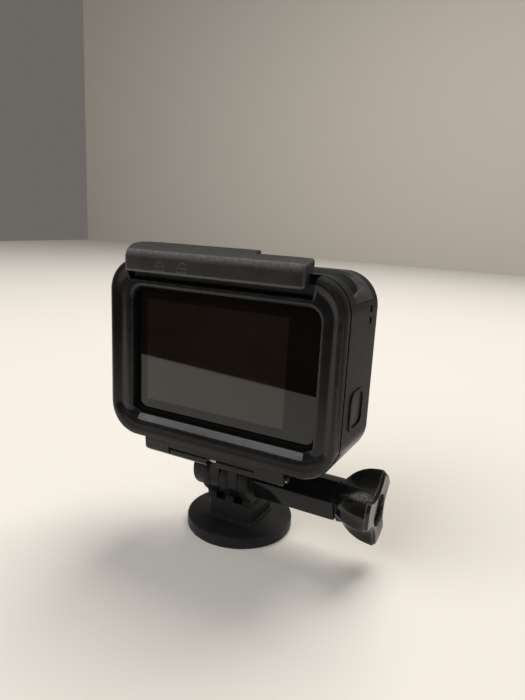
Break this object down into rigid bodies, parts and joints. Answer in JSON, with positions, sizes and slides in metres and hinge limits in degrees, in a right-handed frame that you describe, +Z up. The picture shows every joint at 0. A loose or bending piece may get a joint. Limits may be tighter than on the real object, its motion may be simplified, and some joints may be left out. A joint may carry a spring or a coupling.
{
  "type": "action camera in a clip frame",
  "caption": "Compact action camera in a clip-together frame that tilts on a pronged tripod foot, with a hinged rear door, top latch and thumbscrew.",
  "frame": {"origin": "mouth of the tripod thread, in the middle of the foot's underside", "axes": "+X along the camera's long side, towards the thumbscrew's knob; +Y the way the lens looks; +Z up"},
  "size_m": [0.075, 0.0413, 0.085],
  "materials": {
    "foot_plastic": "satin moulded glass-filled nylon",
    "knob_plastic": "semi-gloss moulded plastic with handling marks",
    "frame_plastic": "satin moulded polycarbonate",
    "latch_plastic": "semi-gloss polycarbonate, edges polished by wear",
    "camera_rubber": "soft-touch coating",
    "button_plastic": "satin",
    "inner_plastic": "moulded",
    "battery_case": "moulded",
    "chip_plastic": "epoxy",
    "circuit_board": "solder mask",
    "nylon": "smooth",
    "red_lamp": "clear red",
    "seal_rubber": "silicone",
    "lens_ring": "anodised black",
    "steel": "plated",
    "aluminium": "as stamped",
    "brass": "turned",
    "black_glass": "polished, black behind",
    "display": "dark panel, switched off",
    "sensor": "cover glass over silicon",
    "clear_glass": "coated optical glass"
  },
  "bodies": {
    "foot": {"tripod_foot": "foot_plastic", "threaded_insert": "brass", "hex_nut": "steel"},
    "washer": {"nylon_washer": "nylon"},
    "thumbscrew": {"thumbscrew_bolt": "steel", "thumbscrew_knob": "knob_plastic"},
    "door": {"rear_door": "frame_plastic"},
    "latch": {"latch_lever": "latch_plastic"},
    "shutter_button": {"shutter_button": "button_plastic"},
    "mode_button": {"mode_button": "button_plastic"},
    "frame_and_camera": {"frame_shell": "frame_plastic", "door_hinge_pin": "steel", "latch_pin": "steel", "front_housing": "camera_rubber", "rear_housing": "camera_rubber", "housing_screws": "steel", "housing_gasket": "seal_rubber", "rear_glass": "black_glass", "touch_display": "display", "lens_cover_ring": "lens_ring", "lens_cover_glass": "clear_glass", "lens_barrel": "lens_ring", "front_lens_element": "clear_glass", "middle_lens_element": "clear_glass", "rear_lens_element": "clear_glass", "main_board": "circuit_board", "processor_and_memory": "chip_plastic", "heat_spreader": "aluminium", "image_sensor": "sensor", "sensor_board": "circuit_board", "battery": "battery_case", "battery_bay": "inner_plastic", "status_window": "black_glass", "status_display": "display", "usb_socket": "steel", "hdmi_socket": "steel", "memory_card": "chip_plastic", "speaker": "inner_plastic", "microphones": "steel", "status_lamps": "red_lamp", "side_door": "camera_rubber", "side_door_seal": "seal_rubber", "battery_door": "camera_rubber", "battery_door_seal": "seal_rubber", "shutter_switch": "steel", "mode_switch": "steel"}
  },
  "joints": [
    {"name": "camera_tilt", "type": "hinge", "parent": "foot", "child": "frame_and_camera", "pos_m": [0, -0.0034, 0.0185], "axis": [1, 0, 0], "range_deg": [-90, 60]},
    {"name": "thumbscrew_travel", "type": "slide", "parent": "foot", "child": "washer", "axis": [1, 0, 0], "range_m": [0, 0.0016]},
    {"name": "thumbscrew_turn", "type": "hinge", "parent": "washer", "child": "thumbscrew", "pos_m": [0.02, -0.0034, 0.0185], "axis": [1, 0, 0], "range_deg": [0, 730]},
    {"name": "door_swing", "type": "hinge", "parent": "frame_and_camera", "child": "door", "pos_m": [0.0034, -0.0213, 0.02925], "axis": [1, 0, 0], "range_deg": [0, 110]},
    {"name": "latch_lift", "type": "hinge", "parent": "frame_and_camera", "child": "latch", "pos_m": [0, -0.0162, 0.0824], "axis": [-1, 0, 0], "range_deg": [0, 90]},
    {"name": "shutter_press", "type": "slide", "parent": "frame_and_camera", "child": "shutter_button", "axis": [0, 0, -1], "range_m": [0, 0.0006], "stiffness_N_per_m": 400, "springref_m": -0.0004},
    {"name": "mode_press", "type": "slide", "parent": "frame_and_camera", "child": "mode_button", "axis": [-1, 0, 0], "range_m": [0, 0.0005], "stiffness_N_per_m": 400, "springref_m": -0.0004}
  ],
  "couplings": [
    {"joint": "thumbscrew_turn", "follows": "thumbscrew_travel", "rad_per_m": 7854}
  ]
}
